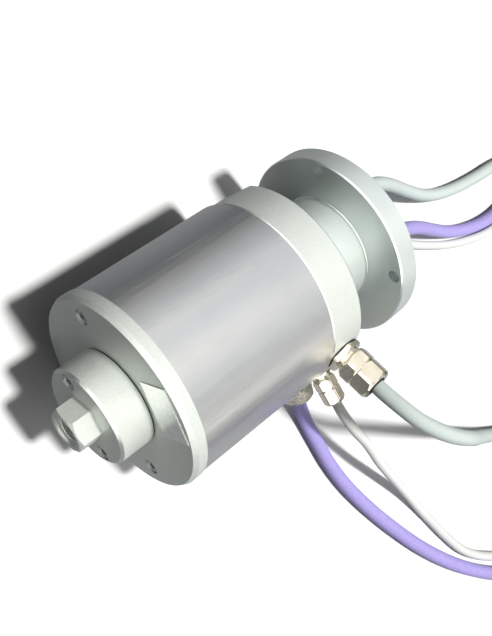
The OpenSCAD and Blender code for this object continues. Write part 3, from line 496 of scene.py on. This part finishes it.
THREAD_STEPS = 60  # points for each turn of the thread
THREAD_FLAT = 0.12  # width of the crest, as a share of the pitch
THREAD_FOOT = 0.94  # width of the foot, as a share of the pitch
THREAD_ROOT = 0.15 * MM  # how deep the foot sits in the wall
THREAD_RUNOUT = 0.5  # over which share of a turn the ridge rises at each end
SHARP_ANGLE = math.radians(35)  # edges that bend more than this are shaded sharp


def port_thread(name, body, mouth, inward, length, sizes, finish):
    """Ridge of an internal thread, from a port's mouth inward along the axis, running out at both ends."""
    pitch, depth, wall = sizes.thread_pitch, sizes.thread_depth, sizes.port_d / 2
    count, runout = int(length / pitch * THREAD_STEPS), THREAD_RUNOUT * THREAD_STEPS
    mesh = bpy.data.meshes.new(name)
    shape = bmesh.new()
    rings = []
    for k in range(count + 1):
        angle = 2 * math.pi * k / THREAD_STEPS
        rise = min(1.0, k / runout, (count - k) / runout)
        crest = wall - depth * rise
        middle = mouth + inward * (sizes.thread_inset + pitch * (k / THREAD_STEPS + 0.5))
        foot, flat = pitch * THREAD_FOOT / 2, pitch * THREAD_FLAT / 2
        profile = ((-foot, wall + THREAD_ROOT), (-flat, crest), (flat, crest), (foot, wall + THREAD_ROOT))
        rings.append([shape.verts.new((middle + along, radius * math.cos(angle), radius * math.sin(angle)))
                      for along, radius in profile])
    for one, two in zip(rings, rings[1:]):
        for i in range(4):
            j = (i + 1) % 4
            shape.faces.new((one[i], one[j], two[j], two[i]))
    shape.faces.new(rings[0])
    shape.faces.new(reversed(rings[-1]))
    bmesh.ops.recalc_face_normals(shape, faces=shape.faces)
    for face in shape.faces:
        face.smooth = True
    shape.to_mesh(mesh)
    shape.free()
    mesh.set_sharp_from_angle(angle=SHARP_ANGLE)
    ridge = bpy.data.objects.new(name, mesh)
    bpy.context.collection.objects.link(ridge)
    mesh.materials.append(finish)
    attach(ridge, body)


# ---------------------------------------------------------------- operators


CAMERA_LENS, CAMERA_SENSOR = 50.71, 36  # millimetres
CAMERA_NEAR = 0.01  # metres
CAMERA_AT = (-0.2878, 0.0338, 0.3745)  # metres
# The camera's own axes: to the right, up and backwards.
CAMERA_AXES = ((0.7029, -0.5436, 0.4587), (0.5120, 0.8344, 0.2041), (-0.4937, 0.0914, 0.8648))


class SLIPRING_OT_camera(bpy.types.Operator):
    """Camera above the port end, looking down along the unit"""
    bl_idname = "slipring.camera"
    bl_label = "Camera"

    def execute(self, context):
        data = bpy.data.cameras.new("camera")
        data.lens = CAMERA_LENS
        data.sensor_width = CAMERA_SENSOR
        data.clip_start = CAMERA_NEAR
        camera = bpy.data.objects.new("camera", data)
        turn = Matrix(CAMERA_AXES).transposed().to_4x4()
        camera.matrix_world = Matrix.Translation(CAMERA_AT) @ turn
        context.collection.objects.link(camera)
        context.scene.camera = camera
        return {"FINISHED"}


class SLIPRING_OT_cables(bpy.types.Operator):
    """Six cables, from their exits to their coils"""
    bl_idname = "slipring.cables"
    bl_label = "Cables"

    def execute(self, context):
        colours = context.scene.slipring_colours
        finishes = {
            "grey": sheath("Grey PVC sheath", colours.grey, 0.4, 0.1),
            "white": sheath("White PVC sheath", colours.white, 0.45, 0.0),
            "violet": sheath("Violet PVC sheath", colours.violet, 0.5, 1.0),
        }
        for name in ROUTES:
            cable(name, context.scene.slipring_sizes, finishes[name.split("_")[1]])
        return {"FINISHED"}


class SLIPRING_OT_finishes(bpy.types.Operator):
    """Finishes of the turned, drawn and plated parts"""
    bl_idname = "slipring.finishes"
    bl_label = "Finishes"

    def execute(self, context):
        finishes = all_finishes(context.scene.slipring_colours)
        for part in frame["record"]["subparts"]:
            if part["material_slot"] in finishes:
                for slot in frame["nodes"][part["node"]].material_slots:
                    slot.material = finishes[part["material_slot"]]
        return {"FINISHED"}


class SLIPRING_OT_threads(bpy.types.Operator):
    """Threads in the stator's and the rotor's ports"""
    bl_idname = "slipring.threads"
    bl_label = "Threads"

    def execute(self, context):
        sizes, finish = context.scene.slipring_sizes, cut_thread()
        stator_mouth, rotor_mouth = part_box("port_fitting")[0][0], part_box("rotor_flange")[1][0]
        port_thread("port_thread", "stator", stator_mouth, 1, sizes.port_thread_l, sizes, finish)
        port_thread("rotor_thread", "rotor", rotor_mouth, -1, sizes.rotor_thread_l, sizes, finish)
        return {"FINISHED"}


FLOOR_SIZE = 12  # metres
KEY_FROM = Vector((0.06, -0.25, 1.0))  # towards the lamp
KEY_STRENGTH = 3.2  # a white table top facing the lamp is then just white
KEY_WIDTH = math.radians(6)
PAINTED_POOL = (0.05, -0.12, 0)  # middle of a painted pool of light on the table top's colour, which metal mirrors
PAINTED_POOL_FADE = (0.12, 0.42)  # from here to there, in metres, the painted pool darkens to the dim room's colour

# The surround. A strength of 1 is white. A cone gives the cosines of the angles from a glow's middle at
# which it starts and at which it is full, and a height is the sine of the angle over the horizon.
WINDOW, WINDOW_CONE = (0.4, -0.75, 0.53), (0.5, 1.0)  # lights matt surfaces
SHADE, WINDOW_GLOW = 0.02, 0.9  # the surround's strength for them, off the window and in its middle
SKY_HEIGHT = (0.0, 0.8)  # from here to there, the surround that metal mirrors grows from low to high
SKY_LOW, SKY_HIGH = 0.04, 1.4
PATCHES, PATCH_RANGE = 2.4, (0.4, 0.6)  # scale of its patches, and the noise of a dark and a bright one
PATCH_DARK, PATCH_BRIGHT = 0.78, 1.1
SILL, SILL_CONE = (0.0, -1.0, 0.0), (0.5, 0.85)  # a bright strip that metal's low sides mirror
SILL_GLOW, SILL_HEIGHT = 1.5, (0.08, 0.3)  # full up to the first height, and gone at the second
FRONT, FRONT_CONE = (-0.93, -0.2, 0.31), (0.45, 0.68)  # a glow before the port, which the chamfers mirror
FRONT_GLOW = 1.45


def table_with_painted_pool(tree, colours):
    """Colour of the table top as metal mirrors it: a painted pool of light, darkening further off to a dim
    room's colour.
    """
    coords = add_node(tree, "ShaderNodeTexCoord")
    from_pool = add_node(tree, "ShaderNodeVectorMath", {"operation": "SUBTRACT"}, {
        0: coords.outputs["Object"], 1: PAINTED_POOL})
    away = add_node(tree, "ShaderNodeVectorMath", {"operation": "LENGTH"}, {0: from_pool.outputs[0]})
    return add_node(tree, "ShaderNodeMix", {"data_type": "RGBA"}, {
        "Factor": spread(tree, away.outputs["Value"], 0, 1, PAINTED_POOL_FADE),
        "A": colours.floor, "B": colours.room}).outputs["Result"]


def glow(tree, way, towards, cone, low, high):
    """Strength of the surround round a glow, from low outside its cone to high in its middle."""
    facing = add_node(tree, "ShaderNodeVectorMath", {"operation": "DOT_PRODUCT"}, {0: way, 1: towards})
    return spread(tree, facing.outputs["Value"], low, high, cone)


def mirrored_room(tree, way, patch):
    """Strength of the room that metal mirrors: bright overhead, with patches, a low strip and a lamp."""
    height = add_node(tree, "ShaderNodeSeparateXYZ", None, {0: way}).outputs["Z"]
    sky = add_node(tree, "ShaderNodeMath", {"operation": "MULTIPLY"}, {
        0: spread(tree, height, SKY_LOW, SKY_HIGH, SKY_HEIGHT),
        1: spread(tree, patch, PATCH_DARK, PATCH_BRIGHT, (0, 1))})
    strip = add_node(tree, "ShaderNodeMath", {"operation": "MULTIPLY"}, {
        0: spread(tree, height, SILL_GLOW, 0, SILL_HEIGHT), 1: glow(tree, way, SILL, SILL_CONE, 0, 1)})
    glows = add_node(tree, "ShaderNodeMath", {"operation": "ADD"}, {
        0: strip.outputs["Value"], 1: glow(tree, way, FRONT, FRONT_CONE, 0, FRONT_GLOW)})
    return add_node(tree, "ShaderNodeMath", {"operation": "ADD"}, {
        0: sky.outputs["Value"], 1: glows.outputs["Value"]}).outputs["Value"]


class SLIPRING_OT_stage(bpy.types.Operator):
    """Pale table top, one lamp nearly overhead and a white surround"""
    bl_idname = "slipring.stage"
    bl_label = "Stage"

    def execute(self, context):
        scene, colours = context.scene, context.scene.slipring_colours
        scene.view_settings.view_transform = "Standard"
        self.add_floor(colours)
        self.add_surround(scene)
        light = bpy.data.lights.new("key", "SUN")
        light.energy = KEY_STRENGTH
        light.angle = KEY_WIDTH
        light.color = colours.key[:3]
        lamp = bpy.data.objects.new("key", light)
        lamp.rotation_euler = (-KEY_FROM).to_track_quat("-Z", "Y").to_euler()
        lamp.visible_glossy = False  # metal mirrors the surround, which stands for a wide soft lamp
        context.collection.objects.link(lamp)
        return {"FINISHED"}

    def add_floor(self, colours):
        """Matt table top, white to the camera so that it keeps the shadow, and pale to the light with a
        painted pool of light that darkens further off.
        """
        bpy.ops.mesh.primitive_plane_add(size=FLOOR_SIZE, location=(0, 0, FLOOR_Z))
        floor = bpy.context.object
        floor.name = "floor"
        made, tree, shader = new_material("Pale matt table top", colours.floor, 0.0, 0.9)
        path = add_node(tree, "ShaderNodeLightPath")
        mix = add_node(tree, "ShaderNodeMix", {"data_type": "RGBA"}, {
            "Factor": path.outputs["Is Camera Ray"], "A": table_with_painted_pool(tree, colours), "B": WHITE})
        tree.links.new(mix.outputs["Result"], shader.inputs["Base Color"])
        floor.data.materials.append(made)

    def add_surround(self, scene):
        """White to the camera; dim to matt surfaces; to metal a room, bright and warm or darker and blue."""
        colours = scene.slipring_colours
        world = bpy.data.worlds.new("surround")
        scene.world = world
        world.use_nodes = True
        # a ray aimed at the surround as at a lamp carries no ray type, so only rays that reach it count
        world.cycles.sampling_method = "NONE"
        tree = world.node_tree
        path = add_node(tree, "ShaderNodeLightPath")
        way = add_node(tree, "ShaderNodeTexCoord").outputs["Generated"]
        patches = add_node(tree, "ShaderNodeTexNoise", None, {"Vector": way, "Scale": PATCHES, "Detail": 1.0})
        patch = spread(tree, patches.outputs["Fac"], 0, 1, PATCH_RANGE)
        # a mirrored ray that left a matt surface first sees the dim surround, so that shadows stay deep
        mirror = add_node(tree, "ShaderNodeMath", {"operation": "SUBTRACT", "use_clamp": True}, {
            0: path.outputs["Is Glossy Ray"], 1: path.outputs["Diffuse Depth"]})
        lit = add_node(tree, "ShaderNodeMix", {"data_type": "FLOAT"}, {
            "Factor": mirror.outputs["Value"], "A": glow(tree, way, WINDOW, WINDOW_CONE, SHADE, WINDOW_GLOW),
            "B": mirrored_room(tree, way, patch)})
        seen = add_node(tree, "ShaderNodeMix", {"data_type": "FLOAT"}, {
            "Factor": path.outputs["Is Camera Ray"], "A": lit.outputs["Result"], "B": 1.0})
        tint = add_node(tree, "ShaderNodeMix", {"data_type": "RGBA"}, {
            "Factor": patch, "A": colours.cool, "B": colours.warm})
        colour = add_node(tree, "ShaderNodeMix", {"data_type": "RGBA"}, {
            "Factor": path.outputs["Is Glossy Ray"], "A": WHITE, "B": tint.outputs["Result"]})
        back = tree.nodes["Background"]
        tree.links.new(colour.outputs["Result"], back.inputs["Color"])
        tree.links.new(seen.outputs["Result"], back.inputs["Strength"])


class SLIPRING_PT_panel(bpy.types.Panel):
    """Buttons for the slip ring's steps, with its sizes and colours"""
    bl_idname = "SLIPRING_PT_panel"
    bl_label = "Slip Ring"
    bl_space_type = "VIEW_3D"
    bl_region_type = "UI"
    bl_category = "Slip Ring"

    def draw(self, context):
        for step in STEPS:
            self.layout.operator(step.bl_idname)
        for group in (context.scene.slipring_sizes, context.scene.slipring_colours):
            for key in group.__annotations__:
                self.layout.prop(group, key)


STEPS = (SLIPRING_OT_camera, SLIPRING_OT_cables, SLIPRING_OT_finishes, SLIPRING_OT_threads, SLIPRING_OT_stage)
CLASSES = (SlipRingSizes, SlipRingColours) + STEPS + (SLIPRING_PT_panel,)


def register():
    for cls in CLASSES:
        bpy.utils.register_class(cls)
    bpy.types.Scene.slipring_sizes = bpy.props.PointerProperty(type=SlipRingSizes)
    bpy.types.Scene.slipring_colours = bpy.props.PointerProperty(type=SlipRingColours)


def unregister():
    del bpy.types.Scene.slipring_colours
    del bpy.types.Scene.slipring_sizes
    for cls in reversed(CLASSES):
        bpy.utils.unregister_class(cls)


def main():
    register()
    for step in STEPS:
        group, name = step.bl_idname.split(".")
        getattr(getattr(bpy.ops, group), name)()


if __name__ == "__main__":
    main()
